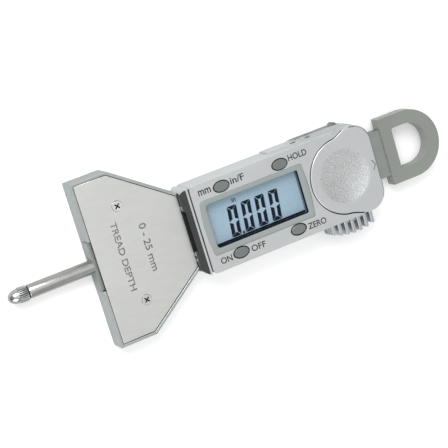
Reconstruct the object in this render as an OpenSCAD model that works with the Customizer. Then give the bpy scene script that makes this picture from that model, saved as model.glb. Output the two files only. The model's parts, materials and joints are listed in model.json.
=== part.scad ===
// Digital tyre tread depth gauge, lying on its back with the display up.
// +X runs from the contact tip to the pull ring, +Y across, +Z out of the display.
// The modules are drawn with X = 0 on the measuring face and moved at the end,
// so that the origin is under the middle of the whole gauge.

/* [Base] */
// Half the width of the measuring face
base_half_w = 27.3; // [24:0.1:32]
// Length of the straight sides next to the measuring face
base_side = 12.5; // [8:0.5:16]
// Length of the base along the beam
base_len = 32.4; // [30:0.1:32.4]
// Half the width of the base where it meets the display module
base_neck = 13.1; // [12.8:0.1:14]
// Thickness of the base
base_t = 7.5; // [7.4:0.1:9]
// Width of the raised rim round the cover plate
rim_w = 1.0; // [0.8:0.1:1.6]
// Distance of the plate screws from the measuring face
plate_screw_x = 12.75; // [10:0.5:16]
// Distance of the plate screws from the centre line
plate_screw_y = 15.7; // [12:0.5:18]

/* [Beam and probe] */
// Width of the scale beam
beam_w = 16; // [14:0.5:16]
// Thickness of the scale beam
beam_t = 3.4; // [3:0.1:3.4]
// Height of the beam and probe axis above the back
axis_z = 4.4; // [4.4:0.1:4.4]
// Diameter of the probe rod
rod_d = 4.5; // [4:0.1:4.5]
// How far the contact tip stands out of the measuring face
probe_out = 28.6; // [27:0.1:28.6]
// Diameter of the knurled collar of the contact tip
tip_d = 5; // [4.6:0.1:5]

/* [Display module] */
// Length of the front housing
module_len = 65.1; // [65.1:0.1:65.1]
// Height of the front face above the back
module_h = 12.7; // [12.7:0.1:12.7]
// Lower edge of the housing across the beam
module_y0 = -15; // [-15.2:0.1:-15]
// Upper edge of the housing across the beam
module_y1 = 14; // [14:0.1:14.2]
// Travel of the four buttons
button_travel = 0.5; // [0.2:0.1:0.5]
// Radius of the finger dish in the battery cover
dish_r = 9; // [7:0.1:9.5]
// Depth of the finger dish
dish_depth = 1.1; // [0.6:0.1:1.2]
// Number of fins on the thumb rest
fins = 7; // [5:1:8]

/* [Pull ring] */
// Where the ring starts, from the measuring face
ring_x = 107.1; // [104:0.1:110]
// Half the width of the ring
ring_r = 11.4; // [10:0.1:12]
// Half the width of the finger hole
hole_r = 7.0; // [6:0.1:7.4]
// Thickness of the ring
ring_t = 4.4; // [4.4:0.1:5]

/* [Hidden] */
$fn = 48;
e = 0.01;
gap = 0.1;
beam_z0 = axis_z - beam_t / 2;
beam_z1 = axis_z + beam_t / 2;
floor_z = beam_z0 - gap;
plate_z0 = beam_z1 + gap;
plate_z1 = base_t - 0.2;
slot_h = beam_w / 2 + 0.15;
tip_groove = tip_d / 2 + 0.4;
m0 = 34.9;
m1 = m0 + module_len;
ring_c = ring_x + 9.3;
ring_end = ring_c + ring_r;
x_mid = (ring_end - probe_out) / 2;
diag = norm([base_len - base_side, base_half_w - base_neck]);
dn_y = (base_len - base_side) / diag;
dn_x = (base_half_w - base_neck) / diag;
skin_z = 11.5;
deck_z0 = 9.9;
deck_z1 = 10.95;
board_z0 = plate_z0;
board_z1 = board_z0 + 1;
bat = [88, -0.6];
bat_r = 10;
seam_r = 12.85;
dish_c = [87.75, -0.72];
lcd_x = [36.85, 73.85];
lcd_y = [-9.55, 8.55];
view_x = [38.7, 71.9];
view_y = [-7.6, 6.8];
btn = [[45.6, 10.9], [66.7, 10.7], [45.7, -11.45], [66.8, -11.55]];
land_x = 66;
cx = [60, 61.1];

module put() translate([-x_mid, 0, 0]) children();
module box(p, q) translate(p) cube([q[0] - p[0], q[1] - p[1], q[2] - p[2]]);
module slab(z0, z1) translate([0, 0, z0]) linear_extrude(z1 - z0) children();

// rounded rectangle: ra on the low-X corners, rb on the high-X corners
module rrect(x0, x1, y0, y1, ra, rb) {
  translate([x0 + ra, y0]) square([x1 - x0 - ra - rb, y1 - y0]);
  translate([x0, y0 + ra]) square([ra + e, y1 - y0 - 2 * ra]);
  translate([x1 - rb - e, y0 + rb]) square([rb + e, y1 - y0 - 2 * rb]);
  for (y = [y0 + ra, y1 - ra]) translate([x0 + ra, y]) circle(ra);
  for (y = [y0 + rb, y1 - rb]) translate([x1 - rb, y]) circle(rb);
}
module base_outline(g = 0, open_end = 0) {
  k = (1 - dn_y) / dn_x;
  xt = base_side - g * k;
  xe = base_len + open_end;
  yb = base_neck - g / dn_y - open_end * dn_x / dn_y;
  polygon([[g, base_half_w - g], [xt, base_half_w - g], [xe, yb],
           [xe, -yb], [xt, -base_half_w + g], [g, -base_half_w + g]]);
}
module oval(p, w, h) translate(p) polygon([for (i = [0:47]) let (a = i * 7.5) [w / 2 * cos(a), h / 2 * sin(a)]]);
module phillips(r, d) for (a = [45, 135]) rotate(a) translate([-r, -r * 0.22, -d]) cube([2 * r, r * 0.44, d + 1]);

// outline of the battery cover: a round seam running out in two S curves
function s_curve(x0, y0, x1, y1) = [for (i = [1:8]) let (t = i / 8) [x0 + (x1 - x0) * t, y0 + (y1 - y0) * t * t * (3 - 2 * t)]];
module seam_shape(g = 0) {
  r = seam_r + g;
  ta = 99; tb = 258;
  pa = [bat[0] + r * cos(ta), bat[1] + r * sin(ta)];
  pb = [bat[0] + r * cos(tb), bat[1] + r * sin(tb)];
  polygon(concat(
    [for (i = [0:40]) let (a = ta + (tb - ta) * i / 40) [bat[0] + r * cos(a), bat[1] + r * sin(a)]],
    s_curve(pb[0], pb[1], 93.8, -15.3 - g),
    [[94.5, -17], [103, -17], [103, 17], [93.6, 17], [93.2, 14.4 + g]],
    [for (i = [1:7]) let (t = i / 8) [93.2 + (pa[0] - 93.2) * t, 14.4 + g + (pa[1] - 14.4 - g) * t * t * (3 - 2 * t)]]));
}
module housing(inset = 0) rrect(m0 + inset, m1 - inset, module_y0 + inset, module_y1 - inset, 1.4 - inset * 0.5, 6 - inset);

// display bezel: a rounded rectangle whose short ends bow outwards
module bezel_shape(g) {
  rrect(lcd_x[0] - g, lcd_x[1] + g, lcd_y[0] - g, lcd_y[1] + g, 1.2, 0.8);
  half = (lcd_y[1] - lcd_y[0]) / 2 - 1.2;
  for (k = [[lcd_x[0] - g, -1, 0.7], [lcd_x[1] + g, 1, 0.5]]) {
    r = (half * half + k[2] * k[2]) / (2 * k[2]);
    intersection() {
      translate([k[0] + k[1] * (k[2] - r), (lcd_y[0] + lcd_y[1]) / 2]) circle(r, $fn = 360);
      translate([k[0] - 1, lcd_y[0] + 1.2]) square([2, 2 * half]);
    }
  }
}

module base_body() color("lightsteelblue") put() difference() {
  slab(0, base_t) base_outline();
  slab(plate_z0, base_t + 1) base_outline(rim_w, 1);
  box([-1, -slot_h, floor_z], [base_len + 1, slot_h, base_t + 1]);
  box([-1, -tip_groove, floor_z - 0.85], [base_len + 1, tip_groove, floor_z + 1]);
  for (s = [-1, 1]) {
    translate([plate_screw_x, s * plate_screw_y, 2]) cylinder(h = 9, r = 1.0);
    translate([27, s * 10.6, 4.2]) rotate([0, 90, 0]) cylinder(h = 9, r = 1.25);
  }
}
module base_plate() color("gainsboro") put() difference() {
  slab(plate_z0, plate_z1) intersection() {
    base_outline(rim_w + 0.15, 0);
    translate([0, -30]) square([base_len - 0.15, 60]);
  }
  box([-1, -tip_groove, plate_z0 - 1], [base_len + 1, tip_groove, plate_z0 + 0.8]);
  for (s = [-1, 1]) translate([plate_screw_x, s * plate_screw_y, 5]) cylinder(h = 9, r = 1.75);
}
module base_plate_screws() color("silver") put() for (s = [-1, 1])
  translate([plate_screw_x, s * plate_screw_y, 0]) difference() {
    union() {
      translate([0, 0, 2]) cylinder(h = plate_z0 - 2 + e, r = 1.0);
      translate([0, 0, plate_z0]) cylinder(h = 1.2, r = 1.68);
    }
    translate([0, 0, plate_z0 + 1.2]) phillips(1.05, 0.6);
  }
module base_dowels() color("gray") put() for (s = [-1, 1])
  translate([27, s * 10.6, 4.2]) rotate([0, 90, 0]) cylinder(h = 10.4, r = 1.25);

module module_frame() color([0.27, 0.28, 0.3]) put() difference() {
  union() {
    slab(0.9, plate_z0) rrect(base_len, 98.8, -13.9, 12.9, 0.5, 4.9);
    // end flange that carries the base
    intersection() {
      slab(0.9, 12.2) rrect(base_len, base_len + 20, module_y0 + 0.15, module_y1 - 0.15, 2.4, 2.2);
      translate([0, module_y1, 0]) rotate([90, 0, 0]) linear_extrude(module_y1 - module_y0)
        polygon([[base_len, 0.9], [m0, 0.9], [m0, 11.3], [m0 - 0.28, 11.3], [m0 - 0.28, 12.1], [m0 - 0.95, 12.1], [base_len, 9.4]]);
    }
  }
  box([base_len - 1, -slot_h, floor_z], [100, slot_h, plate_z0 + e]);
  box([base_len - 1, -6.7, 7.5], [base_len + 1.3, 6.7, 9.9]);
  // pocket for the gib strip
  box([61.8, slot_h - 1, floor_z], [97.2, 9.3, plate_z0 + 1]);
  for (x = [70, 88]) translate([x, 9, axis_z]) rotate([-90, 0, 0]) cylinder(h = 6, r = 1.0);
  for (s = [-1, 1]) translate([base_len - 1, s * 10.6, 4.2]) rotate([0, 90, 0]) cylinder(h = 6, r = 1.25);
  for (x = [39.4, 76.3], y = [-11.6, 10.6]) translate([x, y, 4.9]) cylinder(h = 3, r = 0.8);
  for (x = [44.5, 93], y = [-11.6, 10.6]) translate([x, y, 0]) cylinder(h = 3.6, r = 0.9);
  translate([cx[0], 0, 0]) cylinder(h = 4, r = 1.0);
}
module back_cover() color("silver") put() difference() {
  slab(0, 0.9) rrect(base_len + 0.5, m1 - 0.6, module_y0 + 0.6, module_y1 - 0.6, 1.6, 5.4);
  for (x = [44.5, 93], y = [-11.6, 10.6]) translate([x, y, 0]) {
    translate([0, 0, -1]) cylinder(h = 3, r = 0.9);
    translate([0, 0, -1]) cylinder(h = 1.5, r = 1.6);
  }
}
module back_cover_screws() color("dimgray") put()
  for (x = [44.5, 93], y = [-11.6, 10.6]) translate([x, y, 0]) difference() {
    union() {
      translate([0, 0, 0.1]) cylinder(h = 0.4, r = 1.55);
      translate([0, 0, 0.3]) cylinder(h = 3.3, r = 0.9);
    }
    translate([0, 0, 0.1]) mirror([0, 0, 1]) phillips(0.95, 0.25);
  }
module front_cover() color("silver") put() difference() {
  union() {
    difference() {
      slab(0.9, module_h) housing();
      slab(0, skin_z) housing(1.05);
    }
    slab(deck_z0, skin_z + e) intersection() {
      housing(0.5);
      translate([74.3, -20]) square([40, 40]);
    }
    // raised land with the port cover's guide lips
    box([land_x, module_y1 - 0.5, 0.9], [93.5, module_y1 + 0.4, 7.2]);
    slab(0.9, 7.2) difference() {
      intersection() {
        rrect(80, m1 + 0.2, module_y0, module_y1 + 0.4, 1, 6.4);
        translate([92, 9.2]) square([20, 20]);
      }
      housing(0.5);
    }
    for (z = [1.8, 5.8]) box([76, module_y1 - 0.5, z], [93.5, module_y1 + 0.9, z + 0.4]);
  }
  // battery cover cut-out, battery hole and cover rails
  slab(deck_z1, module_h + 1) seam_shape(0.12);
  translate([bat[0], bat[1], 5]) cylinder(h = 10, r = bat_r + 0.4);
  for (y = [-13.1, 10.9]) box([89.8, y - 0.1, 10.1], [104, y + 1.1, deck_z1 + 1]);
  // room for the frame behind the low-X wall, and the beam windows
  box([m0 - 1, module_y0 + 1.05, 0], [m0 + 1.2, module_y1 - 1.05, plate_z0 + 0.05]);
  box([m0 - 1, -slot_h - 0.15, floor_z - 0.2], [m1 + 1, slot_h + 0.15, plate_z0 + 0.2]);
  // display window and buttons
  slab(skin_z - 1, module_h + 1) bezel_shape(0.03);
  for (p = btn) slab(skin_z - 0.5, module_h + 1) oval(p, 5.9, 3.9);
  // data port window
  box([77.3, 12, 2.6], [82.3, 16, 5.4]);
}
module thumb_rest() color("silver") put() difference() {
  union() {
    slab(3, 9.2) intersection() {
      union() {
        translate([88.2, -1.5]) circle(15.5, $fn = 96);
        intersection() {
          translate([88.2, -1.5]) circle(17.1, $fn = 96);
          translate([78, -25]) square([1.9, 20]);
        }
        translate([78, -15.7]) square([19, 2]);
      }
      translate([78, -25]) square([17.9, 25 + module_y0 + 0.8]);
    }
    for (i = [0:fins - 1]) {
      x = 80 + 14.5 * i / (fins - 1);
      y = -1.5 - sqrt(19.4 * 19.4 - (x - 88.2) * (x - 88.2)) + 0.68;
      slab(3, 9.2) {
        translate([x - 0.68, y]) square([1.36, module_y0 - y]);
        translate([x, y]) circle(0.68);
      }
    }
  }
  slab(0, 12) housing();
}
module lcd_bezel() color([0.62, 0.66, 0.62]) put() difference() {
  slab(skin_z, module_h + 0.05) bezel_shape(0);
  slab(skin_z - 1, module_h + 1) rrect(view_x[0], view_x[1], view_y[0], view_y[1], 1.0, 0.4);
}
module lcd_window() color([0.8, 0.9, 1, 0.4]) put()
  slab(11.7, 12.3) rrect(view_x[0], view_x[1], view_y[0], view_y[1], 1.0, 0.4);
module lcd_gasket() color([0.1, 0.1, 0.1]) put() difference() {
  box([37.4, -9.1, 10], [73.4, 8.1, skin_z]);
  slab(9, skin_z + 1) rrect(view_x[0], view_x[1], view_y[0], view_y[1], 1.0, 0.4);
}
module lcd_panel() color([0.68, 0.78, 0.85]) put() box([37.6, -9, 8.3], [73.2, 8, 10]);
module lcd_connectors() color([0.35, 0.35, 0.38]) put() for (y = [-8.4, 6.4])
  box([40, y, board_z1], [70, y + 1.2, 8.3]);
module circuit_board() color([0.1, 0.4, 0.25]) put() difference() {
  slab(board_z0, board_z1) rrect(36.4, 98.2, -13.4, 12.4, 0.8, 4.6);
  for (x = [39.4, 76.3], y = [-11.6, 10.6]) translate([x, y, 0]) cylinder(h = 20, r = 0.8);
}
module circuit_board_screws() color("dimgray") put()
  for (x = [39.4, 76.3], y = [-11.6, 10.6]) translate([x, y, 0]) difference() {
    union() {
      translate([0, 0, 4.9]) cylinder(h = board_z1 - 4.9 + e, r = 0.8);
      translate([0, 0, board_z1]) cylinder(h = 0.8, r = 1.4);
    }
    translate([0, 0, board_z1 + 0.8]) phillips(0.9, 0.4);
  }
module button_domes() color("goldenrod") put() for (p = btn)
  translate([p[0], p[1], board_z1]) cylinder(h = 0.35, r = 1.4);
module button(i) color([0.55, 0.59, 0.56]) put() {
  slab(skin_z - 0.4, module_h + 0.25) oval(btn[i], 5.5, 3.5);
  slab(skin_z - 1.1, skin_z - 0.15) oval(btn[i], 7.2, 4.0);
  translate([btn[i][0], btn[i][1], board_z1 + 0.9]) cylinder(h = 2.6, r = 0.9);
}
module button_unit() button(0);
module button_hold() button(1);
module button_power() button(2);
module button_zero() button(3);

module battery() color("lightgray") put() translate([bat[0], bat[1], board_z1 + 0.2]) union() {
  cylinder(h = 0.5, r = bat_r - 1.1);
  translate([0, 0, 0.4]) cylinder(h = 2.8, r = bat_r);
}
module battery_contact_plus() color("goldenrod") put() box([77.5, -3.5, board_z1], [77.98, 2.5, 9.85]);
module battery_contact_minus() color("goldenrod") put() box([82, -2.6, board_z1], [94, 1.4, board_z1 + 0.2]);
module battery_cover() color("silver") put() {
  difference() {
    slab(deck_z1 + 0.05, module_h) intersection() {
      seam_shape(0);
      housing();
    }
    translate([dish_c[0], dish_c[1], module_h - dish_depth + (dish_r * dish_r + dish_depth * dish_depth) / (2 * dish_depth)])
      sphere(r = (dish_r * dish_r + dish_depth * dish_depth) / (2 * dish_depth), $fn = 120);
  }
  for (y = [-13.1, 10.9]) box([90, y, 10.2], [95.5, y + 1, deck_z1 + 0.3]);
}
module data_port() color([0.12, 0.12, 0.13]) put() box([77.3, 12.95, 2.6], [82.3, 13.7, 5.4]);
module data_contacts() color("gold") put() for (i = [0:3])
  box([77.9 + i * 1.1, 13.7, 3.1], [78.4 + i * 1.1, 13.8, 4.9]);
module port_cover() color("silver") put() {
  box([82.7, module_y1 + 0.45, 2.3], [93.4, module_y1 + 0.85, 5.7]);
  intersection() {
    translate([92, module_y1 + 0.6, 2.7]) cylinder(h = 2.6, r = 1.2);
    box([90, module_y1 + 0.6, 2.5], [95, module_y1 + 3, 6]);
  }
}
module gib_strip() color("goldenrod") put() box([62, 8.1, floor_z + 0.1], [97, 9.1, plate_z0 - 0.1]);
module gib_screws() color("dimgray") put() for (x = [70, 88])
  translate([x, 9.1, axis_z]) rotate([-90, 0, 0]) difference() {
    cylinder(h = 3.4, r = 1.0);
    translate([-2, -0.2, 2.7]) cube([4, 0.4, 2]);
  }
module travel_stop_pin() color("dimgray") put() translate([cx[0], 0, 0.9]) cylinder(h = beam_z0 + 0.2, r = 1.0);

module scale_beam() color([0.6, 0.62, 0.6]) put() difference() {
  box([0, -beam_w / 2, beam_z0], [ring_x + 3.2, beam_w / 2, beam_z1]);
  translate([-1, 0, axis_z]) rotate([0, 90, 0]) cylinder(h = 13, r = 1.2);
  // groove for the travel stop pin
  box([cx[1] - probe_out - 2.2, -1.2, beam_z0 - 1], [cx[1], 1.2, beam_z0 + 1.3]);
  // pocket for the scale strip
  box([30, -6.2, beam_z1 - 0.15], [99, 6.2, beam_z1 + 1]);
  for (s = [-1, 1]) translate([ring_x + 1.7, s * 5, 0]) cylinder(h = 5.6, r = 0.9);
}
module scale_strip() color([0.75, 0.65, 0.35]) put() box([30, -6.2, beam_z1 - 0.15], [99, 6.2, beam_z1]);
module probe_rod() color("gainsboro") put() translate([0, 0, axis_z]) rotate([0, 90, 0]) difference() {
  union() {
    translate([0, 0, -21.9]) cylinder(h = 21.9, r = rod_d / 2);
    cylinder(h = 12, r = 1.2);
  }
  translate([0, 0, -22]) cylinder(h = 6, r = 1.1);
}
module contact_tip() color("whitesmoke") put() translate([0, 0, axis_z]) rotate([0, 90, 0]) rotate([0, 0, 0]) union() {
  translate([0, 0, -22.2]) cylinder(h = 6.2, r = 1.1);
  translate([0, 0, -22.3]) cylinder(h = 0.4, r = 1.75);
  translate([0, 0, -25.2]) cylinder(h = 3, r = tip_d / 2);
  // polished round nose
  translate([0, 0, -25.2]) mirror([0, 0, 1]) rotate_extrude()
    polygon(concat([[0, -0.2], [tip_d / 2 - 0.15, -0.2]], [for (i = [0:11]) let (a = i * 90 / 12) [(tip_d / 2 - 0.15) * cos(a), (probe_out - 25.2) * sin(a)]], [[0, probe_out - 25.2]]));
}
module ring_handle() color([0.57, 0.6, 0.57]) put() difference() {
  slab(axis_z - ring_t / 2, axis_z + ring_t / 2) {
    translate([ring_x, -ring_r]) square([ring_c - ring_x, 2 * ring_r]);
    intersection() {
      translate([ring_c, 0]) circle(ring_r, $fn = 96);
      translate([ring_c - 1, -20]) square([40, 40]);
    }
  }
  slab(0, 12) intersection() {
    union() {
      translate([ring_x + 4.2 + 0.8, -hole_r]) square([ring_c - ring_x - 5.2, 2 * hole_r]);
      translate([ring_x + 4.2, -hole_r + 0.8]) square([1, 2 * hole_r - 1.6]);
      for (s = [-1, 1]) translate([ring_x + 5, s * (hole_r - 0.8)]) circle(0.8);
      translate([ring_c - 0.2, 0]) circle(hole_r, $fn = 96);
    }
    translate([ring_x + 4.2, -20]) square([40, 40]);
  }
  box([ring_x - 1, -beam_w / 2, beam_z0], [ring_x + 3.2, beam_w / 2, beam_z1]);
  for (s = [-1, 1]) translate([ring_x + 1.7, s * 5, 0]) cylinder(h = 4, r = 0.9);
}
module ring_pins() color("dimgray") put() for (s = [-1, 1])
  translate([ring_x + 1.7, s * 5, axis_z - ring_t / 2]) cylinder(h = 3.2, r = 0.9);

base_body();
base_plate();
base_plate_screws();
base_dowels();
module_frame();
back_cover();
back_cover_screws();
front_cover();
thumb_rest();
lcd_bezel();
lcd_window();
lcd_gasket();
lcd_panel();
lcd_connectors();
circuit_board();
circuit_board_screws();
button_domes();
button_unit();
button_hold();
button_power();
button_zero();
battery();
battery_contact_plus();
battery_contact_minus();
battery_cover();
data_port();
data_contacts();
port_cover();
gib_strip();
gib_screws();
travel_stop_pin();
scale_beam();
scale_strip();
probe_rod();
contact_tip();
ring_handle();
ring_pins();
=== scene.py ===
import bpy, bmesh, json, math
from mathutils import Matrix, Vector


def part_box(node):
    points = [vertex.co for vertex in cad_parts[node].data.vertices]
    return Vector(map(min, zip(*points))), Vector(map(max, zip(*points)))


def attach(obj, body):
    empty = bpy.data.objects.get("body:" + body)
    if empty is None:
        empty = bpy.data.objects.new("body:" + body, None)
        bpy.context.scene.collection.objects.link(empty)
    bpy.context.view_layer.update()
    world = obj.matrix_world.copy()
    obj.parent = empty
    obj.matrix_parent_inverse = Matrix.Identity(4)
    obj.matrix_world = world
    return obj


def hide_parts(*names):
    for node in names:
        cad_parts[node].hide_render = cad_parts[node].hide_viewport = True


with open("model.json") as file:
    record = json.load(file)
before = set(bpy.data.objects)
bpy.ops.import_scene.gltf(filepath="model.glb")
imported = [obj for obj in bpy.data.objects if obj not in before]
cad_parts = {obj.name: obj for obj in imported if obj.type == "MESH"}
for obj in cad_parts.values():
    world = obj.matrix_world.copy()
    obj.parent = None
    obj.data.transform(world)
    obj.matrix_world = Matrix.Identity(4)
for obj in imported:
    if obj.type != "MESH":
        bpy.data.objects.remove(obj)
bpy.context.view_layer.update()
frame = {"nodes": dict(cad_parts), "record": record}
NODES = frame["nodes"]
BODY = {n: b for b, ns in frame["record"]["behaviour"]["bodies"].items() for n in ns}
SLOT = {s["node"]: s["material_slot"] for s in frame["record"]["subparts"]}
MM = 0.001
FACE_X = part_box("base_body")[0].x          # measuring face
TOP_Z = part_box("front_cover")[1].z         # front of the housing
AXIS_Z = (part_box("probe_rod")[0].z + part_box("probe_rod")[1].z) / 2


def P(x, y=0.0, z=0.0):
    """A point given in millimetres from the measuring face, in the row frame."""
    return Vector((FACE_X + x * MM, y * MM, z * MM))


# ------------------------------------------------------------------ camera
scene = bpy.context.scene
scene.view_settings.view_transform = "Standard"
cam_data = bpy.data.cameras.new("camera")
cam = bpy.data.objects.new("camera", cam_data)
scene.collection.objects.link(cam)
scene.camera = cam
cam_data.sensor_width = 36
cam_data.lens = 132.294
cam_data.clip_start = 0.01
rot = Matrix(((0.875973, 0.347039, -0.335015), (-0.284663, 0.932621, 0.221779), (0.389407, -0.098906, 0.91574)))
cam.matrix_world = Matrix.Translation(P(-131.167, 114.365, 488.213)) @ rot.to_4x4()


# --------------------------------------------------------------- materials
class Nodes:
    """Short hand for a procedural material."""

    def __init__(self, name, metallic=0.0, rough=0.5, base=(0.5, 0.5, 0.5), **sockets):
        self.m = bpy.data.materials.new(name)
        self.m.use_nodes = True
        self.t = self.m.node_tree
        self.b = self.t.nodes["Principled BSDF"]
        self.set("Metallic", metallic)
        self.set("Roughness", rough)
        self.set("Base Color", (*base, 1))
        for k, v in sockets.items():
            self.set(k.replace("_", " "), v)
        self.tc = self.t.nodes.new("ShaderNodeTexCoord")
        self.m.diffuse_color = (*base, 1)

    def set(self, socket, value):
        self.b.inputs[socket].default_value = value

    def link(self, a, b):
        self.t.links.new(a, b)

    def coord(self, scale=(1, 1, 1), rotate=(0, 0, 0), move=(0, 0, 0)):
        n = self.t.nodes.new("ShaderNodeMapping")
        n.inputs["Scale"].default_value = scale
        n.inputs["Rotation"].default_value = rotate
        n.inputs["Location"].default_value = move
        self.link(self.tc.outputs["Object"], n.inputs["Vector"])
        return n.outputs["Vector"]

    def noise(self, scale, detail=2.0, rough=0.5, vec=None, distort=0.0):
        n = self.t.nodes.new("ShaderNodeTexNoise")
        n.inputs["Scale"].default_value = scale
        n.inputs["Detail"].default_value = detail
        n.inputs["Roughness"].default_value = rough
        n.inputs["Distortion"].default_value = distort
        self.link(vec if vec is not None else self.tc.outputs["Object"], n.inputs["Vector"])
        return n.outputs["Fac"]

    def voronoi(self, scale, vec=None):
        n = self.t.nodes.new("ShaderNodeTexVoronoi")
        n.inputs["Scale"].default_value = scale
        self.link(vec if vec is not None else self.tc.outputs["Object"], n.inputs["Vector"])
        return n.outputs["Distance"]

    def span(self, value, lo, hi, a=0.0, b=1.0):
        n = self.t.nodes.new("ShaderNodeMapRange")
        n.clamp = True
        for k, v in (("From Min", lo), ("From Max", hi), ("To Min", a), ("To Max", b)):
            n.inputs[k].default_value = v
        self.link(value, n.inputs["Value"])
        return n.outputs["Result"]

    def ramp(self, value, stops):
        n = self.t.nodes.new("ShaderNodeValToRGB")
        el = n.color_ramp.elements
        while len(el) < len(stops):
            el.new(0.5)
        for e, (p, c) in zip(el, stops):
            e.position = p
            e.color = (*c, 1)
        self.link(value, n.inputs["Fac"])
        return n.outputs["Color"]

    def math(self, op, a, b):
        n = self.t.nodes.new("ShaderNodeMath")
        n.operation = op
        for i, v in enumerate((a, b)):
            if isinstance(v, (int, float)):
                n.inputs[i].default_value = v
            else:
                self.link(v, n.inputs[i])
        return n.outputs[0]

    def mix(self, fac, a, b):
        n = self.t.nodes.new("ShaderNodeMix")
        n.data_type = "RGBA"
        for i, v in ((6, a), (7, b)):
            if isinstance(v, tuple):
                n.inputs[i].default_value = (*v, 1)
            else:
                self.link(v, n.inputs[i])
        self.link(fac, n.inputs[0])
        return n.outputs[2]

    def bump(self, height, distance, strength=1.0, normal=None):
        n = self.t.nodes.new("ShaderNodeBump")
        n.inputs["Distance"].default_value = distance
        n.inputs["Strength"].default_value = strength
        self.link(height, n.inputs["Height"])
        if normal is not None:
            self.link(normal, n.inputs["Normal"])
        return n.outputs["Normal"]

    def out(self, base=None, rough=None, normal=None, metallic=None):
        for s, v in (("Base Color", base), ("Roughness", rough), ("Normal", normal), ("Metallic", metallic)):
            if v is not None:
                self.link(v, self.b.inputs[s])
        return self.m

    def scale(self, col, k):
        n = self.t.nodes.new("ShaderNodeVectorMath")
        n.operation = "SCALE"
        self.link(col, n.inputs[0])
        self.link(k, n.inputs["Scale"])
        return n.outputs[0]

    def plane(self, terms):
        """Sum of constant and coefficient * value terms."""
        total = None
        for t in terms:
            v = t if isinstance(t, (int, float)) else self.math("MULTIPLY", t[1], t[0])
            total = v if total is None else self.math("ADD", total, v)
        return total

    def xyz(self):
        n = self.t.nodes.new("ShaderNodeSeparateXYZ")
        self.link(self.tc.outputs["Object"], n.inputs[0])
        return n.outputs


def tint(c, k):
    return tuple(min(1.0, x * k) for x in c)


def plain(name, base, metallic, rough, grain=6000, grain_h=0.000006, spread=0.06, rough_spread=0.06, tone=None, **kw):
    """Satin surface: fine grain, slow colour drift, faint handling marks."""
    n = Nodes(name, metallic, rough, base, **kw)
    slow = n.noise(45, 3)
    fine = n.noise(grain, 2, 0.6)
    mixv = n.math("ADD", n.math("MULTIPLY", slow, 0.7), n.math("MULTIPLY", fine, 0.3))
    col = n.ramp(mixv, [(0.3, tint(base, 1 - spread)), (0.7, tint(base, 1 + spread))])
    if tone:
        col = n.scale(col, tone(n))
    marks = n.noise(260, 5, 0.65, n.coord((1, 2.2, 1), (0, 0, 0.5)))
    r = n.span(n.math("ADD", n.math("MULTIPLY", marks, 0.7), n.math("MULTIPLY", fine, 0.3)), 0.3, 0.7, rough - rough_spread, rough + rough_spread)
    return n.out(col, r, n.bump(fine, grain_h))


def brushed(name, base, rough, direction=(1, 0, 0), fine=5200, long=90, height=0.0000022, spread=0.05, tone_by=None, **kw):
    """Metal brushed along one axis."""
    n = Nodes(name, 1.0, rough, base, **kw)
    sc = tuple(long if d else fine for d in direction)
    sc2 = tuple(long * 3 if d else fine * 0.33 for d in direction)
    lines = n.noise(1.0, 3, 0.7, n.coord(sc))
    wide = n.noise(1.0, 2, 0.5, n.coord(sc2))
    both = n.math("ADD", n.math("MULTIPLY", lines, 0.6), n.math("MULTIPLY", wide, 0.4))
    cloud = n.noise(60, 3)
    tone = n.math("ADD", n.math("MULTIPLY", both, 0.6), n.math("MULTIPLY", cloud, 0.4))
    col = n.ramp(tone, [(0.3, tint(base, 1 - spread)), (0.7, tint(base, 1 + spread))])
    if tone_by:
        col = n.scale(col, tone_by(n))
    r = n.span(both, 0.3, 0.7, rough - 0.06, rough + 0.07)
    return n.out(col, r, n.bump(both, height))


def polished(name, base, rough):
    """Ground round stock: even steel with faint rings round the X axis."""
    n = Nodes(name, 1.0, rough, base)
    rings = n.noise(1.0, 3, 0.6, n.coord((9000, 120, 120)))
    cloud = n.noise(300, 3)
    col = n.ramp(cloud, [(0.3, tint(base, 0.94)), (0.7, tint(base, 1.05))])
    r = n.span(n.math("ADD", n.math("MULTIPLY", rings, 0.5), n.math("MULTIPLY", cloud, 0.5)), 0.3, 0.7, rough * 0.7, rough * 1.4)
    return n.out(col, r, n.bump(rings, 0.0000006))


def dish_silver(name, base, rough):
    """The battery cover: satin silver, with a coarse spark-eroded grain inside the finger dish."""
    n = Nodes(name, 0.9, rough, base)
    c = P(87.75, -0.72)
    x = n.xyz()
    dx = n.math("MULTIPLY", n.math("SUBTRACT", x["X"], c.x), 1000.0)
    dy = n.math("MULTIPLY", n.math("SUBTRACT", x["Y"], c.y), 1000.0)
    d2 = n.math("ADD", n.math("MULTIPLY", dx, dx), n.math("MULTIPLY", dy, dy))
    d = n.math("SQRT", d2, 0)
    inside = n.span(d, 8.6, 9.1, 1, 0)
    coarse = n.noise(2900, 4, 0.8)
    fine = n.noise(6500, 2, 0.6)
    slow = n.noise(45, 3)
    flat_col = n.ramp(n.math("ADD", n.math("MULTIPLY", slow, 0.7), n.math("MULTIPLY", fine, 0.3)), [(0.3, tint(base, 0.96)), (0.7, tint(base, 1.04))])
    rough_col = n.ramp(coarse, [(0.34, tint(base, 0.50)), (0.50, tint(base, 0.92)), (0.64, tint(base, 1.24))])
    col = n.mix(inside, flat_col, rough_col)
    height = n.math("ADD", n.math("MULTIPLY", n.math("MULTIPLY", coarse, inside), 7.0), fine)
    r = n.math("ADD", n.span(fine, 0.3, 0.7, rough - 0.04, rough + 0.04), n.math("MULTIPLY", inside, 0.02))
    return n.out(col, r, n.bump(height, 0.000006))


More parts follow.
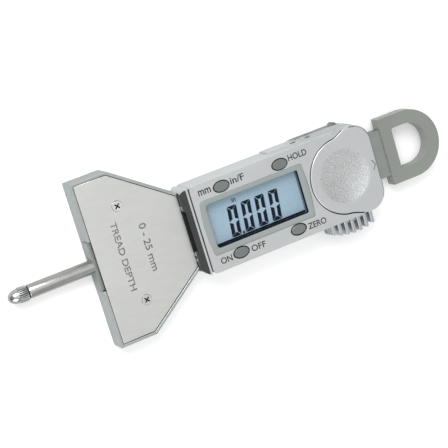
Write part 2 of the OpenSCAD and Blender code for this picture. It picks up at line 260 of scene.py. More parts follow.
SILVER = (0.655, 0.675, 0.675)
M = {}
M["satin_silver"] = plain("satin_silver_paint", SILVER, 0.9, 0.34, 6500, 0.000006, 0.05, 0.05)
M["rest_silver"] = plain("satin_silver_rest", (0.56, 0.585, 0.60), 0.95, 0.26, 6500, 0.000005, 0.06, 0.05)
M["dish"] = dish_silver("satin_silver_dished", SILVER, 0.34)
M["base_metal"] = plain("bead_blasted_metal", (0.46, 0.485, 0.485), 1.0, 0.42, 5200, 0.000007, 0.07, 0.06)
M["brushed_plate"] = brushed("brushed_stainless_plate", (0.74, 0.75, 0.725), 0.33)
M["screw_steel"] = plain("nickel_plated_screw", (0.86, 0.85, 0.82), 1.0, 0.16, 4000, 0.000003, 0.1, 0.05)
M["pin_steel"] = plain("ground_pin_steel", (0.5, 0.5, 0.5), 1.0, 0.32, 5000, 0.000003)
# Charcoal painted shade, used on the module frame's end face.
M["frame_dark"] = plain("charcoal_painted_shade", (0.075, 0.08, 0.08), 0.6, 0.40, 5000, 0.000008, 0.15, 0.08)
M["bezel_grey"] = plain("grey_bezel", (0.30, 0.335, 0.335), 0.35, 0.40, 6000, 0.000005, 0.05, 0.05)
M["black_rubber"] = plain("black_gasket", (0.006, 0.007, 0.009), 0.0, 0.7, 5000, 0.00001, 0.3, 0.1, Specular_IOR_Level=0.12)
M["board_green"] = plain("green_solder_mask", (0.02, 0.16, 0.08), 0.0, 0.35, 900, 0.000015, 0.3, 0.08)
M["contact_brass"] = plain("plated_contact", (0.85, 0.62, 0.25), 1.0, 0.28, 4000, 0.000004, 0.08)
M["button_grey"] = plain("key_grey", (0.165, 0.185, 0.175), 0.35, 0.38, 5200, 0.000006, 0.10, 0.06)
M["cell_steel"] = brushed("coin_cell_steel", (0.7, 0.7, 0.7), 0.25)
M["port_black"] = plain("port_black", (0.015, 0.015, 0.017), 0.0, 0.5, 5000, 0.000008, 0.2)
M["strip_steel"] = brushed("strip_steel", (0.30, 0.305, 0.30), 0.3)
M["gib_brass"] = brushed("gib_brass", (0.72, 0.52, 0.24), 0.35)
M["beam_steel"] = brushed("ground_beam_steel", (0.35, 0.375, 0.355), 0.42, (1, 0, 0), 4200, 60, 0.000002, 0.06)
M["scale_laminate"] = plain("scale_laminate", (0.5, 0.42, 0.2), 0.2, 0.3, 1800, 0.000004, 0.15)
M["rod_steel"] = polished("polished_rod", (0.43, 0.43, 0.415), 0.20)
M["tip_steel"] = polished("knurled_tip", (0.40, 0.415, 0.415), 0.30)
M["nose_steel"] = polished("polished_nose", (0.48, 0.48, 0.49), 0.14)
M["gap_dark"] = plain("gap_shadow", (0.018, 0.02, 0.02), 0.0, 0.7, 5000, 0.000005, 0.2, 0.05, Specular_IOR_Level=0.1)
# Darker silver: painted shade for the battery cover's rounded outer edge.
M["edge_shade"] = plain("edge_painted_shade", (0.26, 0.275, 0.28), 0.9, 0.32, 6500, 0.000005, 0.06, 0.05)
# Near-black steel: painted shade in the knurl valleys and behind the collar.
M["valley_dark"] = plain("knurl_valley_painted_shade", (0.05, 0.055, 0.055), 1.0, 0.4, 5200, 0.000004, 0.15, 0.05)
M["ring_grey"] = plain("satin_grey_ring", (0.255, 0.27, 0.25), 0.45, 0.46, 4200, 0.00001, 0.08, 0.06)
# Lighter copy of the ring grey: painted light on the ring's side walls.
M["ring_wall"] = plain("ring_wall_painted_light", (0.37, 0.385, 0.365), 0.45, 0.44, 4200, 0.00001, 0.08, 0.06)
# Dark grey: painted shade in the grooves between the thumb rest fins.
M["groove_dark"] = plain("thumb_groove_painted_shade", (0.10, 0.11, 0.115), 0.8, 0.4, 5200, 0.000005, 0.12, 0.06)
n = Nodes("display_window", 0.0, 0.05, (0.01, 0.015, 0.02), Alpha=0.06, Specular_IOR_Level=0.25)
M["clear_window"] = n.out(rough=n.span(n.noise(500, 4), 0.3, 0.7, 0.04, 0.10), normal=n.bump(n.noise(120, 2), 0.00001))
n = Nodes("display_blue_painted_glow", 0.0, 0.45, (0.30, 0.42, 0.52), Specular_IOR_Level=0.2)
# Emission is a painted glow that lifts the recessed display out of the bezel's shade.
n.set("Emission Color", (0.33, 0.46, 0.56, 1))
n.set("Emission Strength", 0.22)
speck = n.noise(2200, 3, 0.7)
face = n.ramp(speck, [(0.3, (0.235, 0.335, 0.415)), (0.7, (0.335, 0.45, 0.54))])
M["lcd_glass"] = n.out(face, n.span(speck, 0.3, 0.7, 0.4, 0.5), n.bump(speck, 0.000004))
M["digit_navy"] = plain("digit_navy", (0.006, 0.011, 0.026), 0.0, 0.5, 3000, 0.000002, 0.25, 0.05, Specular_IOR_Level=0.1)
M["digit_shadow"] = plain("digit_shadow", (0.16, 0.22, 0.29), 0.0, 0.5, 3000, 0.000002, 0.08, 0.05, Specular_IOR_Level=0.1)
M["print_grey"] = plain("printed_grey", (0.022, 0.025, 0.027), 0.0, 0.5, 3000, 0.000003, 0.25, 0.08, Specular_IOR_Level=0.2)
M["engraved"] = plain("engraved_legend", (0.20, 0.205, 0.20), 0.8, 0.5, 4000, 0.000005, 0.12, 0.08)


# ------------------------------------------------------------ mesh helpers
def add_piece(name, bm_or_mesh, mats, body, replaces=(), smooth=None):
    mesh = bm_or_mesh
    if isinstance(mesh, bmesh.types.BMesh):
        me = bpy.data.meshes.new(name)
        mesh.to_mesh(me)
        mesh.free()
        mesh = me
    o = bpy.data.objects.new(name, mesh)
    scene.collection.objects.link(o)
    mesh.materials.clear()
    for m in (mats if isinstance(mats, (list, tuple)) else [mats]):
        mesh.materials.append(m)
    if smooth is not None:
        mesh.shade_smooth()
        mesh.set_sharp_from_angle(angle=math.radians(smooth))
    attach(o, body)
    if replaces:
        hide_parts(*replaces)
    return o


def softened(node, width, segments=3, mat=None, angle=32, cut=None):
    """The CAD node's own shape with its edges rounded, in its place."""
    src = NODES[node]
    bm = bmesh.new()
    bm.from_mesh(src.data)
    bmesh.ops.remove_doubles(bm, verts=bm.verts, dist=2e-6)
    bmesh.ops.dissolve_limit(bm, angle_limit=math.radians(0.6), verts=bm.verts, edges=bm.edges)
    bmesh.ops.dissolve_degenerate(bm, edges=bm.edges, dist=1e-6)
    bmesh.ops.recalc_face_normals(bm, faces=bm.faces)
    o = add_piece(node + "_shell", bm, mat or M[SLOT[node]], BODY[node], (node,))
    bv = o.modifiers.new("edges", "BEVEL")
    bv.width = width * MM
    bv.segments = segments
    bv.limit_method = "ANGLE"
    bv.angle_limit = math.radians(angle)
    bv.use_clamp_overlap = True
    bv.harden_normals = False
    bv.miter_outer = "MITER_ARC"
    bpy.context.view_layer.update()
    dg = bpy.context.evaluated_depsgraph_get()
    me = bpy.data.meshes.new_from_object(o.evaluated_get(dg))
    o.modifiers.clear()
    me.materials.clear()
    me.materials.append(mat or M[SLOT[node]])
    o.data = me
    me.shade_smooth()
    me.set_sharp_from_angle(angle=math.radians(28))
    w = o.modifiers.new("normals", "WEIGHTED_NORMAL")
    w.keep_sharp = True
    return o


def lathe(profile, centre, n=96, radius=None):
    """Turn a list of (x, r) in mm round an X axis through centre. radius(i, x, r) may change r at each step."""
    bm = bmesh.new()
    rings = []
    for x, r in profile:
        if r <= 1e-9:
            rings.append([bm.verts.new(P(x, 0, 0) + centre)])
            continue
        row = []
        for i in range(n):
            a = 2 * math.pi * i / n
            rr = radius(i, x, r) if radius else r
            row.append(bm.verts.new(P(x, 0, 0) + centre + Vector((0, math.cos(a), math.sin(a))) * rr * MM))
        rings.append(row)
    for a, b in zip(rings, rings[1:]):
        if len(a) == 1 or len(b) == 1:
            one, many = (a, b) if len(a) == 1 else (b, a)
            for i in range(n):
                bm.faces.new((one[0], many[i], many[(i + 1) % n]))
        else:
            for i in range(n):
                bm.faces.new((a[i], a[(i + 1) % n], b[(i + 1) % n], b[i]))
    bmesh.ops.recalc_face_normals(bm, faces=bm.faces)
    return bm


# -------------------------------------------------- CAD nodes kept as they are
for name, o in NODES.items():
    o.data.materials.clear()
    o.data.materials.append(M[SLOT[name]])

# ---------------------------------------------------------- base and its plate
BASE_SHELLS = (softened("base_body", 0.22, 3), softened("base_plate", 0.10, 2))
def recolour(o, mats, pick):
    """Give some faces of a piece another of its materials: pick(centre, normal) returns an index."""
    for m in mats:
        o.data.materials.append(m)
    for p in o.data.polygons:
        p.material_index = pick(p.center, p.normal)


# Painted shade on the inner walls of the rim round the plate.
recolour(BASE_SHELLS[0], [M["gap_dark"]], lambda c, n: 1 if abs(n.z) < 0.5 and c.z > 0.0062 and n.x * (c.x - P(14).x) + n.y * c.y < 0 else 0)
# Painted shade on the plate's side edges.
recolour(BASE_SHELLS[1], [M["gap_dark"]], lambda c, n: 1 if abs(n.z) < 0.5 else 0)
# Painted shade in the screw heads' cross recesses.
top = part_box("base_plate_screws")[1].z
recolour(softened("base_plate_screws", 0.12, 2), [M["gap_dark"]],
         lambda c, n: 1 if top - 0.00075 < c.z < top - 0.00004 and (c.x - P(12.75).x) ** 2 + (abs(c.y) - 0.0157) ** 2 < 0.00128 ** 2 else 0)

# ------------------------------------------------------------------ the module
KEYS = ((45.6, 10.9), (66.7, 10.7), (45.7, -11.45), (66.8, -11.55))


def cover_face(c, n):
    """Painted shade on the walls of the key holes and of the battery cover seam, and on the floor of the seam."""
    if abs(n.z) < 0.5 and c.z > 0.0105:
        for x, y in KEYS:
            if abs(c.x - P(x).x) < 0.00325 and abs(c.y - y * MM) < 0.0022:
                return 1
        if c.x > P(74.2).x and -0.01495 < c.y < 0.01395 and c.x < P(99.9).x:
            return 1
    if c.x > P(74.2).x and c.z < TOP_Z - 0.0005 and c.z > 0.0105 and n.z > 0.5:
        return 1
    return 0


recolour(softened("front_cover", 0.28, 3), [M["gap_dark"]], cover_face)


def flange_face(c, n):
    """Silver on the sides and the top of the end flange, charcoal painted shade on its end, black painted shadow in
    its slot.
    """
    if c.x > P(34.95).x or c.z < 0.0009:
        return 0
    if abs(c.y) < 0.00685 and 0.0074 < c.z < 0.0100 and c.x > P(32.45).x and not (n.x < -0.5 and n.z > 0.3):
        return 2
    if c.x > P(33.85).x and n.z > 0.6 and c.z > 0.0118:
        return 1
    if abs(n.y) > 0.45 and (c.y > 0.0118 or c.y < -0.0128):
        return 1
    return 0


recolour(softened("module_frame", 0.2, 3), [M["satin_silver"], M["gap_dark"]], flange_face)
for b in ("button_unit", "button_hold", "button_power", "button_zero"):
    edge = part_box(b)[1].z - 0.0005
    key = softened(b, 0.45, 4)
    lo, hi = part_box(b)
    for v in key.data.vertices:
        if v.co.z > 0.01142:
            v.co.x += ((lo.x + hi.x) / 2 - v.co.x) * 0.055
            v.co.y += ((lo.y + hi.y) / 2 - v.co.y) * 0.075
    # Painted shade on the lower part of each key, where it sits in its hole.
    recolour(key, [M["gap_dark"]], lambda c, n: 1 if c.z < edge + 0.00015 else 0)
softened("back_cover", 0.15, 2)
softened("port_cover", 0.12, 2)

def block(name, lo, hi, r, mat, body="gauge_body"):
    """Small rounded block between two corners, in mm."""
    bm = bmesh.new()
    made = bmesh.ops.create_cube(bm, size=1.0)
    for v in made["verts"]:
        v.co = P(*(lo[i] + (v.co[i] + 0.5) * (hi[i] - lo[i]) for i in range(3)))
    bmesh.ops.bevel(bm, geom=list(bm.edges), offset=r * MM, segments=3, affect="EDGES", profile=0.5)
    return add_piece(name, bm, mat, body, smooth=35)


# Thin dark sheets of painted shade for the port cover's catch recesses on the +Y side.
for i, (x0, x1) in enumerate(((75.0, 76.8), (80.6, 82.2))):
    block("port_catch_painted_shade_%d" % i, (x0, 14.2, 5.9), (x1, 14.46, 6.9), 0.1, M["gap_dark"])
for i, (y0, y1) in enumerate(((7.1, 8.3), (-8.3, -7.1), (-10.2, -9.2))):
    block("flange_lug_%d" % i, (32.28, y0, 7.32), (33.1, y1, 8.5), 0.18, M["base_metal"])

# ------------------------------------------------------------------- the slide
recolour(softened("scale_beam", 0.12, 2), [M["base_metal"]], lambda c, n: 1 if n.x < -0.8 and c.x < P(0.5).x else 0)
# Painted light on the ring's side walls and hole wall.
recolour(softened("ring_handle", 0.6, 4), [M["ring_wall"]], lambda c, n: 1 if abs(n.z) < 0.55 else 0)




# ------------------------------------------------------- outlines, in millimetres
def rounded(x0, x1, y0, y1, ra, rb, n=10):
    """Rounded rectangle, ra on the low-X corners and rb on the high-X ones."""
    pts = []
    for cx, cy, r, a0 in ((x1 - rb, y0 + rb, rb, -90), (x1 - rb, y1 - rb, rb, 0), (x0 + ra, y1 - ra, ra, 90), (x0 + ra, y0 + ra, ra, 180)):
        for i in range(n + 1):
            a = math.radians(a0 + 90 * i / n)
            pts.append((cx + r * math.cos(a), cy + r * math.sin(a)))
    return pts


def inset(rect, d, n=10):
    x0, x1, y0, y1, ra, rb = rect
    return rounded(x0 + d, x1 - d, y0 + d, y1 - d, max(ra - d, 0.05), max(rb - d, 0.05), n)


def bowed(rect, d):
    """The bezel outline: as rounded(), with its short ends bowed outwards."""
    x0, x1, y0, y1, ra, rb = rect
    pts = inset(rect, d, 6)
    right = [(x1 - d, y0 + 1.2 + (y1 - y0 - 2.4) * i / 16) for i in range(1, 16)]
    left = [(x0 + d, y1 - 1.2 - (y1 - y0 - 2.4) * i / 16) for i in range(1, 16)]
    pts = pts[:7] + right + pts[7:21] + left + pts[21:]
    mid, half = (y0 + y1) / 2, (y1 - y0) / 2 - 1.2
    out = []
    for x, y in pts:
        k = max(0.0, 1 - ((y - mid) / half) ** 2)
        out.append((x + (0.5 if x > (x0 + x1) / 2 else -0.7) * k, y))
    return out


def straight(rect, d):
    """An inset rounded rectangle with the same number of points as bowed()."""
    x0, x1, y0, y1, ra, rb = rect
    pts = inset(rect, d, 6)
    right = [(x1 - d, y0 + 1.2 + (y1 - y0 - 2.4) * i / 16) for i in range(1, 16)]
    left = [(x0 + d, y1 - 1.2 - (y1 - y0 - 2.4) * i / 16) for i in range(1, 16)]
    return pts[:7] + right + pts[7:21] + left + pts[21:]


def loft(rings, close=False, cap=False, bm=None, mat=0):
    """Skin between rings of equal length, each a (points, z) pair."""
    bm = bm or bmesh.new()
    old = len(bm.faces)
    rows = [[bm.verts.new(P(x, y, z)) for x, y in pts] for pts, z in rings]
    pairs = list(zip(rows, rows[1:])) + ([(rows[-1], rows[0])] if close else [])
    for a, b in pairs:
        m = len(a)
        for i in range(m):
            bm.faces.new((a[i], a[(i + 1) % m], b[(i + 1) % m], b[i]))
    if cap:
        bm.faces.new(rows[0])
        bm.faces.new(rows[-1])
    bm.faces.ensure_lookup_table()
    for f in list(bm.faces)[old:]:
        f.material_index = mat
    bmesh.ops.recalc_face_normals(bm, faces=bm.faces)
    return bm


# --------------------------------------------------------------- display opening
lo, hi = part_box("lcd_bezel")
BEZ = (36.85, 73.85, lo.y / MM, hi.y / MM, 1.2, 0.8)
zb0, zb1 = lo.z / MM, hi.z / MM
lo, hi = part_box("lcd_window")
VIEW = ((lo.x - FACE_X) / MM, (hi.x - FACE_X) / MM, lo.y / MM, hi.y / MM, 1.0, 0.4)
rings = [(bowed(BEZ, 0), zb0), (bowed(BEZ, 0), zb1 - 0.2), (bowed(BEZ, 0.04), zb1 - 0.08), (bowed(BEZ, 0.12), zb1 - 0.015), (bowed(BEZ, 0.22), zb1)]
rings += [(straight(VIEW, -0.36), zb1), (straight(VIEW, -0.2), zb1 - 0.03), (straight(VIEW, -0.08), zb1 - 0.10), (straight(VIEW, -0.03), zb1 - 0.2), (straight(VIEW, -0.03), zb0)]
add_piece("lcd_bezel_frame", loft(rings, close=True), M["bezel_grey"], "gauge_body", ("lcd_bezel",), 40)
lo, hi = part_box("lcd_gasket")
GAS = ((lo.x - FACE_X) / MM, (hi.x - FACE_X) / MM, lo.y / MM, hi.y / MM, 0.3, 0.3)
zg0, zg1 = lo.z / MM, hi.z / MM
rings = [(inset(GAS, 0), zg0), (inset(GAS, 0), zg1 - 0.02), (inset(VIEW, -0.02), zg1 - 0.02), (inset(VIEW, -0.02), zb1 - 0.2), (inset(VIEW, 0), zb1 - 0.2), (inset(VIEW, 0), zg0 + 0.5 * (zb1 - 0.2 - zg0)), (inset(VIEW, 0), zg0)]
lip_mid = (zg0 + 0.5 * (zb1 - 0.2 - zg0)) * MM
lip = add_piece("lcd_gasket_lip", loft(rings, close=True), M["black_rubber"], "gauge_body", ("lcd_gasket",), 40)
# Painted shadow on the lower half of the gasket's +X inner wall.
recolour(lip, [M["digit_shadow"]], lambda c, n: 1 if n.x < -0.5 and c.z < lip_mid and c.x > P((VIEW[1] - 0.3)).x and c.x < P((VIEW[1] + 0.01)).x else 0)

# -------------------------------------------------------------------- thumb rest
lo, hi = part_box("thumb_rest")
tz0, tz1 = lo.z / MM, hi.z / MM
web = [(88.2 + 15.5 * math.cos(math.radians(a)), -1.5 + 15.5 * math.sin(math.radians(a))) for a in range(243, 298, 3)]
web = [(78.0, -14.9), (78.0, -15.25), (78.9, -15.9)] + [q for q in web if q[0] > 80.4] + [(95.7, -15.2), (95.7, -14.9)]
# The web between the fins takes material 1, painted shade in the grooves.
bm = loft([(web, tz0), (web, tz1 - 1.1)], cap=True, mat=1)


def fin(x, d):
    y = -1.5 - math.sqrt(19.4 ** 2 - (x - 88.2) ** 2) + 0.68
    r = 0.68 - d
    arc = [(x + r * math.cos(math.radians(180 + 15 * i)), y + r * math.sin(math.radians(180 + 15 * i))) for i in range(13)]
    return [(x - r, -14.9)] + arc + [(x + r, -14.9)]


for i in range(7):
    x = 80 + 14.5 * i / 6
    loft([(fin(x, 0.12), tz0), (fin(x, 0), tz0 + 0.15), (fin(x, 0), tz1 - 0.22), (fin(x, 0.05), tz1 - 0.08), (fin(x, 0.16), tz1)], cap=True, bm=bm)
add_piece("thumb_rest_fins", bm, [M["rest_silver"], M["groove_dark"]], "gauge_body", ("thumb_rest",), 40)

# ------------------------------------------------------------- seven segment digits
LCD_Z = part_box("lcd_panel")[1].z / MM
SEG_W, SEG_H, SEG_S, SEG_G = 3.3, 9.9, 1.18, 0.12


def segments(which):
    w, h, s, g = SEG_W, SEG_H, SEG_S, SEG_G
    m = h / 2
    shapes = {
        "a": [(g, h), (w - g, h), (w - s - g, h - s), (s + g, h - s)],
        "d": [(g, 0), (s + g, s), (w - s - g, s), (w - g, 0)],
        "f": [(0, h - g), (s, h - s - g), (s, m + s * 0.55 + g), (0, m + g)],
        "e": [(0, g), (0, m - g), (s, m - s * 0.55 - g), (s, s + g)],
        "b": [(w, h - g), (w, m + g), (w - s, m + s * 0.55 + g), (w - s, h - s - g)],
        "c": [(w, g), (w - s, s + g), (w - s, m - s * 0.55 - g), (w, m - g)],
    }
    return [shapes[k] for k in which]


def digits(name, mat, dx, dy, z, t):
    bm = bmesh.new()

    def prism(pts):
        lowr = [bm.verts.new(P(x + dx + 0.1 * (y + 6.65), y + dy, z)) for x, y in pts]
        top = [bm.verts.new(P(x + dx + 0.1 * (y + 6.65), y + dy, z + t)) for x, y in pts]
        bm.faces.new(lowr)
        bm.faces.new(top)
        for i in range(len(pts)):
            j = (i + 1) % len(pts)
            bm.faces.new((lowr[i], lowr[j], top[j], top[i]))

    for i in range(4):
        for seg in segments("abcdef"):
            prism([(45.25 + 4.97 * i + x, -6.65 + y) for x, y in seg])
    prism([(49.1, -6.65), (49.75, -6.65), (49.75, -5.95), (49.1, -5.95)])
    bmesh.ops.recalc_face_normals(bm, faces=bm.faces)
    return add_piece(name, bm, mat, "gauge_body")


digits("reading_shadow", M["digit_shadow"], 0.16, -0.14, LCD_Z + 0.002, 0.004)
digits("reading", M["digit_navy"], 0, 0, LCD_Z + 0.010, 0.008)
# Dark strip of painted shadow along the display's lower edge, below the bezel.
block("lcd_lower_painted_shadow", (VIEW[0] + 0.9, VIEW[2] + 0.02, LCD_Z + 0.002), (VIEW[1] - 0.02, VIEW[2] + 0.72, LCD_Z + 0.014), 0.004, M["digit_navy"])


# ----------------------------------------------------------------------- legends
def legend(name, words, at, size, z, mat, turn=0.0, thick=0.012, body="gauge_body", bold=0.014):
    """Flat lettering: at = (x, y) of its lower left corner and size = (length, height), in mm."""
    cu = bpy.data.curves.new(name, "FONT")
    cu.body = words
    cu.resolution_u = 6
    cu.offset = bold
    tmp = bpy.data.objects.new(name + "_tmp", cu)
    scene.collection.objects.link(tmp)
    bpy.context.view_layer.update()
    me = bpy.data.meshes.new_from_object(tmp.evaluated_get(bpy.context.evaluated_depsgraph_get()))
    bpy.data.objects.remove(tmp)
    bm = bmesh.new()
    bm.from_mesh(me)
    xs = [v.co.x for v in bm.verts]
    ys = [v.co.y for v in bm.verts]
    x0, y0 = min(xs), min(ys)
    kx, ky = size[0] / (max(xs) - x0), size[1] / (max(ys) - y0)
    c, s = math.cos(turn), math.sin(turn)
    for v in bm.verts:
        u, w = (v.co.x - x0) * kx, (v.co.y - y0) * ky
        v.co = P(at[0] + u * c - w * s, at[1] + u * s + w * c, z)
    bmesh.ops.remove_doubles(bm, verts=bm.verts, dist=1e-7)
    made = bmesh.ops.extrude_face_region(bm, geom=list(bm.faces))
    for v in (g for g in made["geom"] if isinstance(g, bmesh.types.BMVert)):
        v.co.z += thick * MM
    bmesh.ops.recalc_face_normals(bm, faces=bm.faces)
    bpy.data.meshes.remove(me)
    return add_piece(name, bm, mat, body)


ZT = TOP_Z / MM + 0.002
legend("legend_mm", "mm", (37.5, 10.35), (4.4, 1.75), ZT, M["print_grey"])
legend("legend_in", "in/F", (48.95, 10.3), (4.9, 2.2), ZT, M["print_grey"])
legend("legend_hold", "HOLD", (70.05, 10.5), (6.8, 2.05), ZT, M["print_grey"])
legend("legend_on", "ON", (38.2, -12.85), (4.0, 2.05), ZT, M["print_grey"])
legend("legend_off", "OFF", (49.3, -12.75), (5.1, 2.05), ZT, M["print_grey"])
legend("legend_zero", "ZERO", (70.25, -12.95), (6.7, 2.05), ZT, M["print_grey"])
legend("reading_unit", "in", (48.5, 4.1), (1.35, 1.5), LCD_Z + 0.01, M["digit_navy"])
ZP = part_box("base_plate")[1].z / MM + 0.001
legend("legend_depth", "TREAD DEPTH", (8.7, 11.4), (22.8, 2.05), ZP, M["engraved"], -math.pi / 2, 0.008)
legend("legend_range", "0 - 25 mm", (17.4, 7.9), (15.8, 2.35), ZP, M["engraved"], -math.pi / 2, 0.008)


# ------------------------------------------------------------------ battery cover
def ray(poly, c, a):
    """Distance from c to a closed outline in direction a, all in mm."""
    ux, uy = math.cos(a), math.sin(a)
    best = 1e9
    for (x1, y1), (x2, y2) in zip(poly, poly[1:] + poly[:1]):
        ex, ey = x2 - x1, y2 - y1
        den = ux * ey - uy * ex
        if abs(den) < 1e-12:
            continue
        t = ((x1 - c[0]) * ey - (y1 - c[1]) * ex) / den
        k = ((x1 - c[0]) * uy - (y1 - c[1]) * ux) / den
        if t > 0 and -1e-9 <= k <= 1 + 1e-9:
            best = min(best, t)
    return best


def seam():
    cell, r = (88, -0.6), 12.85
    arc = [(cell[0] + r * math.cos(math.radians(99 + 159 * i / 60)), cell[1] + r * math.sin(math.radians(99 + 159 * i / 60))) for i in range(61)]
    pa, pb = arc[0], arc[-1]
    ease = lambda t: t * t * (3 - 2 * t)
    low = [(pb[0] + (93.8 - pb[0]) * i / 16, pb[1] + (-15.3 - pb[1]) * ease(i / 16)) for i in range(1, 17)]
    up = [(93.2 + (pa[0] - 93.2) * i / 16, 14.4 + (pa[1] - 14.4) * ease(i / 16)) for i in range(1, 16)]
    return arc + low + [(94.5, -17), (103, -17), (103, 17), (93.6, 17), (93.2, 14.4)] + up


lo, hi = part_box("front_cover")
HOUSE = rounded((lo.x - FACE_X) / MM, (hi.x - FACE_X) / MM, -15, 14, 2.2, 6, 16)
DC, DR, DD = (87.75, -0.72), 9.0, 1.1
lo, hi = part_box("battery_cover")
top = hi.z / MM
NA = 360
angles = [2 * math.pi * i / NA for i in range(NA)]
S = seam()
reach = [min(ray(S, DC, a) - 0.16, ray(HOUSE, DC, a) - 0.005) for a in angles]
rings = []
BIG = (DR * DR + DD * DD) / (2 * DD)


def dish_z(r):
    """Spherical dish with a softly rounded lip."""
    if r <= 8.7:
        return top - DD + (BIG - math.sqrt(BIG * BIG - r * r))
    z1 = top - DD + (BIG - math.sqrt(BIG * BIG - 8.7 * 8.7))
    t = min(1.0, (r - 8.7) / 0.7)
    return z1 + (top - z1) * math.sin(t * math.pi / 2)


radii = [0.4, 1, 2, 3, 4, 5, 6, 7, 7.8, 8.4, 8.7, 8.85, 9.0, 9.15, 9.3, 9.4]
for r in radii:
    rings.append(([(DC[0] + r * math.cos(a), DC[1] + r * math.sin(a)) for a in angles], dish_z(r)))
F = [0.32 if ray(S, DC, a) < ray(HOUSE, DC, a) else 0.62 for a in angles]
F = [sum(F[(i + j) % NA] for j in range(-3, 4)) / 7 for i in range(NA)]
for k in (0.15, 0.5, 0.85, 1.0):
    rings.append(([(DC[0] + (9.4 + (q - f - 9.4) * k) * math.cos(a), DC[1] + (9.4 + (q - f - 9.4) * k) * math.sin(a)) for a, q, f in zip(angles, reach, F)], top))
for k in (18, 36, 54, 72, 90):
    sn, cs = math.sin(math.radians(k)), math.cos(math.radians(k))
    rings.append(([(DC[0] + (q - f * (1 - sn)) * math.cos(a), DC[1] + (q - f * (1 - sn)) * math.sin(a)) for a, q, f in zip(angles, reach, F)], top - 0.4 * (1 - cs)))
rings.append(([(DC[0] + q * math.cos(a), DC[1] + q * math.sin(a)) for a, q in zip(angles, reach)], 11.0))
bm = loft(rings, cap=True)
for y in (-13.1, 10.9):
    made = bmesh.ops.create_cube(bm, size=1.0)
    for v in made["verts"]:
        v.co = P(92.75 + v.co.x * 5.5, y + 0.5 + v.co.y * 1.0, 10.63 + v.co.z * 0.8)
# Painted shade on the cover's rounded outer edge towards +X and +Y.
recolour(add_piece("battery_cover_shell", bm, M["dish"], "battery_cover", ("battery_cover",), 42), [M["edge_shade"]],
         lambda c, n: 1 if 0.2 < n.z < 0.96 and (n.x > 0.25 or n.y > 0.3) and c.x > P(93.5).x and c.y > -0.012 else 0)
for i, ((x1, y1), (x2, y2)) in enumerate((((98.35, 0.95), (99.3, -0.8)), ((99.3, -0.8), (98.2, -2.5)))):
    d = Vector((x2 - x1, y2 - y1))
    w = Vector((-d.y, d.x)).normalized() * 0.11
    pts = [(x1 + w.x, y1 + w.y), (x2 + w.x, y2 + w.y), (x2 - w.x, y2 - w.y), (x1 - w.x, y1 - w.y)]
    add_piece("cover_arrow_%d" % i, loft([(pts, ZT), (pts, ZT + 0.01)], cap=True), M["print_grey"], "battery_cover")

# ---------------------------------------------------------------- rod and its tip
AXIS = Vector((0, 0, (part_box("probe_rod")[0].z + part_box("probe_rod")[1].z) / 2))
add_piece("probe_rod_ground", lathe([(-21.9, 0), (-21.9, 2.05), (-21.84, 2.15), (-21.74, 2.22), (-21.62, 2.25), (-10, 2.25), (0, 2.25), (0, 1.2), (12, 1.2), (12, 0)], AXIS),
          M["rod_steel"], BODY["probe_rod"], ("probe_rod",), 40)


def knurl(i, x, r):
    """Straight knurl: 24 ridges, cut to a point at both ends of the collar."""
    if -25.05 < x < -22.4:
        return r - (0.0, 0.03, 0.18, 0.34, 0.18, 0.03)[i % 6]
    return r


nose = [(-28.6, 0)] + [(-25.2 - 3.4 * math.cos(math.radians(q)), 2.32 * math.sin(math.radians(q))) for q in (5, 11, 18, 26, 35, 45, 56, 68, 80, 88)]
bm = lathe(nose + [(-25.18, 2.33), (-25.1, 2.42), (-25.0, 2.5), (-22.45, 2.5), (-22.32, 2.42), (-22.22, 2.25), (-22.2, 1.75), (-21.9, 1.75), (-21.9, 1.1), (-16.0, 1.1), (-16.0, 0)], AXIS, 144, knurl)
# Material 2 is painted shade in the knurl's deep valleys and on the step behind the collar.
def tip_face(c, n):
    if c.x < P(-25.17).x:
        return 1
    r = math.hypot(c.y, c.z - AXIS.z)
    return 2 if (r < 0.00237 and P(-25.02).x < c.x < P(-22.4).x) or (r < 0.0021 and c.x > P(-22.3).x) else 0


recolour(add_piece("contact_tip_knurled", bm, M["tip_steel"], BODY["contact_tip"], ("contact_tip",), 35), [M["nose_steel"], M["valley_dark"]], tip_face)


# ------------------------------------------------------------------ floor, light
def plane(name, size, z, mat):
    bm = bmesh.new()
    bmesh.ops.create_grid(bm, x_segments=1, y_segments=1, size=size)
    me = bpy.data.meshes.new(name)
    bm.to_mesh(me)
    bm.free()
    o = bpy.data.objects.new(name, me)
    scene.collection.objects.link(o)
    o.location.z = z
    me.materials.append(mat)
    return o


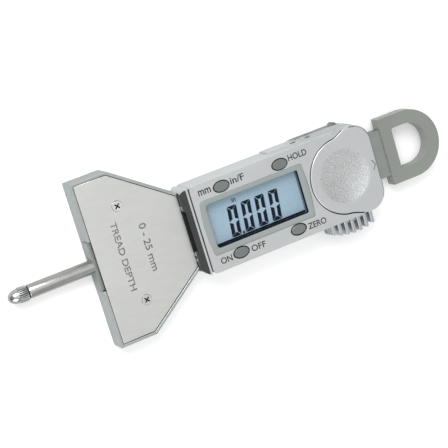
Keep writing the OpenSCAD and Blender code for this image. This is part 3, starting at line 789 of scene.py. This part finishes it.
n = Nodes("floor_white", 0.0, 0.9, (0.93, 0.93, 0.93))
n.set("Specular IOR Level", 0.0)
n.set("Emission Color", (1, 1, 1, 1))
n.set("Emission Strength", 0.12)
n.link(n.ramp(n.noise(2, 2), [(0.2, (0.925, 0.925, 0.925)), (0.8, (0.935, 0.935, 0.935))]), n.b.inputs["Base Color"])
dim = n.t.nodes.new("ShaderNodeBsdfDiffuse")
dim.inputs["Color"].default_value = (0.68, 0.69, 0.69, 1)
seen = n.t.nodes.new("ShaderNodeLightPath")
both = n.t.nodes.new("ShaderNodeMixShader")
n.link(seen.outputs["Is Camera Ray"], both.inputs[0])
n.link(dim.outputs[0], both.inputs[1])
n.link(n.b.outputs[0], both.inputs[2])
n.link(both.outputs[0], n.t.nodes["Material Output"].inputs["Surface"])
plane("floor", 3.0, -0.00002, n.m)


def area(name, at, aim, size, power, size_y=None):
    d = bpy.data.lights.new(name, "AREA")
    d.energy = power
    d.shape = "RECTANGLE"
    d.size = size
    d.size_y = size_y or size
    o = bpy.data.objects.new(name, d)
    scene.collection.objects.link(o)
    o.location = at
    o.rotation_euler = (Vector(aim) - Vector(at)).to_track_quat("-Z", "Y").to_euler()
    return o


world = bpy.data.worlds.new("studio")
scene.world = world
world.use_nodes = True
wt = world.node_tree
bg = wt.nodes["Background"]
geo = wt.nodes.new("ShaderNodeTexCoord")


def lobe(direction, lo, hi, gain):
    d = Vector(direction).normalized()
    dot = wt.nodes.new("ShaderNodeVectorMath")
    dot.operation = "DOT_PRODUCT"
    wt.links.new(geo.outputs["Generated"], dot.inputs[0])
    dot.inputs[1].default_value = d
    mr = wt.nodes.new("ShaderNodeMapRange")
    mr.interpolation_type = "SMOOTHSTEP"
    for k, v in (("From Min", lo), ("From Max", hi), ("To Min", 0.0), ("To Max", gain)):
        mr.inputs[k].default_value = v
    wt.links.new(dot.outputs["Value"], mr.inputs["Value"])
    return mr.outputs["Result"]


def wadd(a, b):
    m = wt.nodes.new("ShaderNodeMath")
    m.operation = "ADD"
    for i, v in enumerate((a, b)):
        if isinstance(v, (int, float)):
            m.inputs[i].default_value = v
        else:
            wt.links.new(v, m.inputs[i])
    return m.outputs[0]


level = wadd(0.52, lobe((-0.12, 0.16, 1), 0.78, 0.985, 0.72))
level = wadd(level, lobe((0, 0.92, 0.40), 0.35, 0.95, 0.25))
level = wadd(level, lobe((-1, -0.25, 0.15), 0.30, 0.95, -0.24))
level = wadd(level, lobe((0.65, -0.6, 0.45), 0.75, 0.98, 0.30))
wt.links.new(level, bg.inputs["Strength"])
bg.inputs["Color"].default_value = (1, 1, 1, 1)
area("key", (-0.35, 0.85, 0.85), (0, 0, 0), 0.7, 11.0)
area("fill", (-0.55, -0.75, 0.7), (0, 0, 0), 0.8, 5.0)
